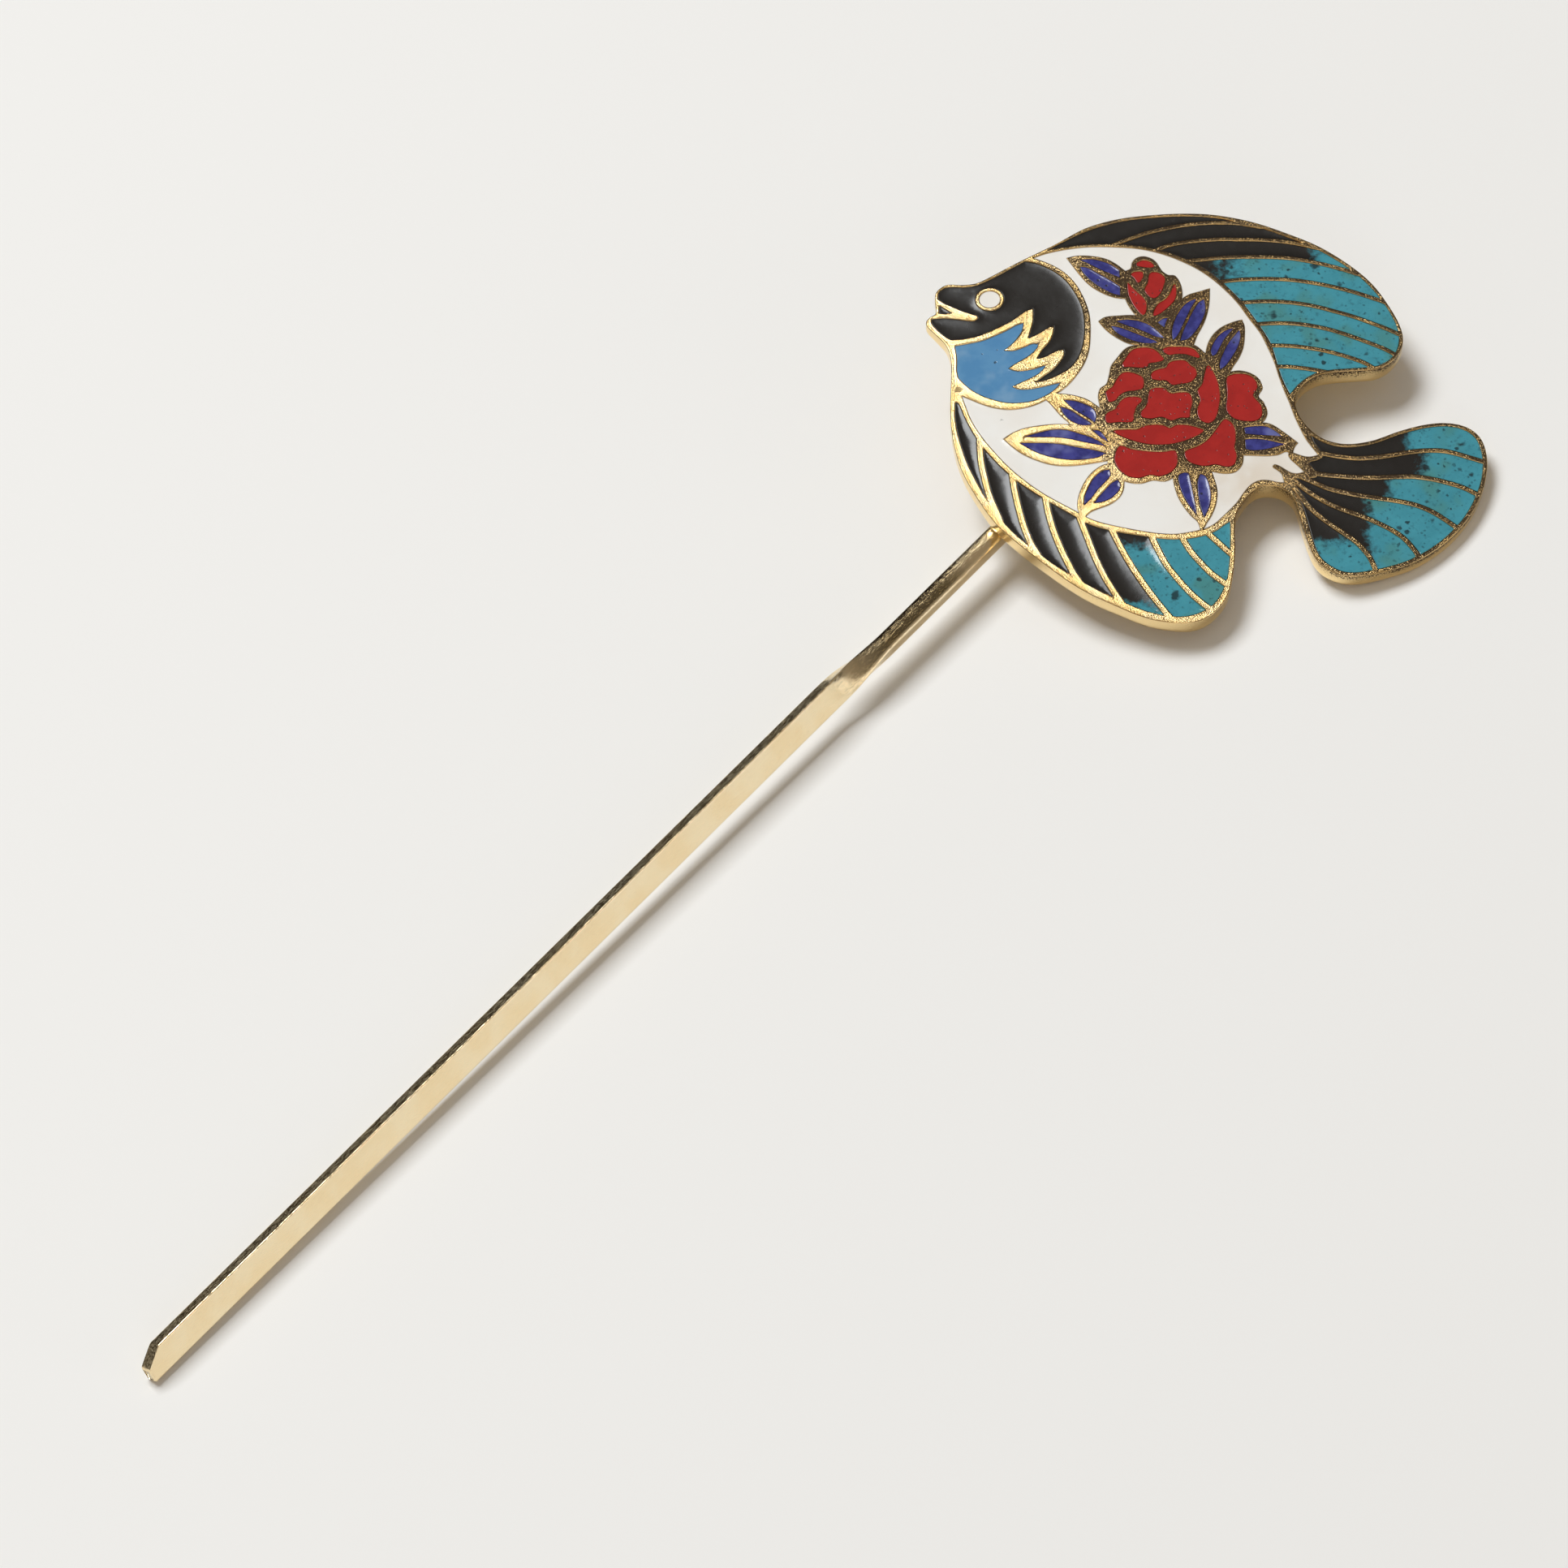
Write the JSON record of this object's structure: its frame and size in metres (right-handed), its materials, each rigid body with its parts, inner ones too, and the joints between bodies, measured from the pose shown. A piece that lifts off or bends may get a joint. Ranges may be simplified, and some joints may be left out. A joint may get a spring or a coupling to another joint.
{
  "type": "hat pin",
  "caption": "Enamelled fish-shaped gilt plate soldered by its back to a straight wire stem that flattens into a narrow blade.",
  "frame": {"origin": "on the axis of the squared wire stem, where it passes under the fish plate's rim", "axes": "+X along the stem from the blade's tip towards the fish, +Z out of the fish's enamelled face, square to its flat back"},
  "size_m": [0.1096, 0.0373, 0.0033],
  "materials": {
    "gilt": "polished gilding over struck and drawn brass",
    "black_enamel": "glossy opaque vitreous enamel",
    "white_enamel": "glossy opaque vitreous enamel",
    "red_enamel": "glossy opaque vitreous enamel",
    "cobalt_enamel": "glossy opaque vitreous enamel",
    "sky_enamel": "glossy opaque vitreous enamel with paler clouds",
    "teal_enamel": "glossy opaque vitreous enamel with fine dark pits"
  },
  "bodies": {
    "root": {"fish_plate": "gilt", "stem": "gilt", "solder_joint": "gilt", "head_enamel": "black_enamel", "eye_enamel": "white_enamel", "cheek_enamel": "sky_enamel", "body_white_top": "white_enamel", "body_white_left": "white_enamel", "body_white_bottom": "white_enamel", "body_white_right": "white_enamel", "rose_petal_1": "red_enamel", "rose_petal_2": "red_enamel", "rose_petal_3": "red_enamel", "rose_petal_4": "red_enamel", "rose_petal_5": "red_enamel", "rose_petal_6": "red_enamel", "rose_petal_7": "red_enamel", "rose_petal_8": "red_enamel", "rose_petal_9": "red_enamel", "rose_petal_10": "red_enamel", "rose_petal_11": "red_enamel", "bud_petal_1": "red_enamel", "bud_petal_2": "red_enamel", "bud_petal_3": "red_enamel", "bud_petal_4": "red_enamel", "bud_petal_5": "red_enamel", "leaf_1": "cobalt_enamel", "leaf_2": "cobalt_enamel", "leaf_3": "cobalt_enamel", "leaf_4": "cobalt_enamel", "leaf_5": "cobalt_enamel", "leaf_6": "cobalt_enamel", "leaf_7": "cobalt_enamel", "leaf_8": "cobalt_enamel", "leaf_9": "cobalt_enamel", "dorsal_cell_1": "black_enamel", "dorsal_cell_2": "black_enamel", "dorsal_cell_3": "black_enamel", "dorsal_cell_4": "teal_enamel", "dorsal_cell_5": "teal_enamel", "dorsal_cell_6": "teal_enamel", "dorsal_cell_7": "teal_enamel", "dorsal_cell_8": "teal_enamel", "dorsal_cell_9": "teal_enamel", "belly_cell_1": "teal_enamel", "belly_cell_2": "teal_enamel", "belly_cell_3": "teal_enamel", "belly_cell_4": "black_enamel", "belly_cell_5": "black_enamel", "belly_cell_6": "black_enamel", "belly_cell_7": "black_enamel", "belly_cell_8": "black_enamel", "belly_cell_9": "black_enamel", "tail_cell_1": "black_enamel", "tail_cell_2": "black_enamel", "tail_cell_3": "black_enamel", "tail_cell_4": "black_enamel", "tail_cell_5": "black_enamel", "tail_cell_6": "teal_enamel"}
  },
  "joints": []
}
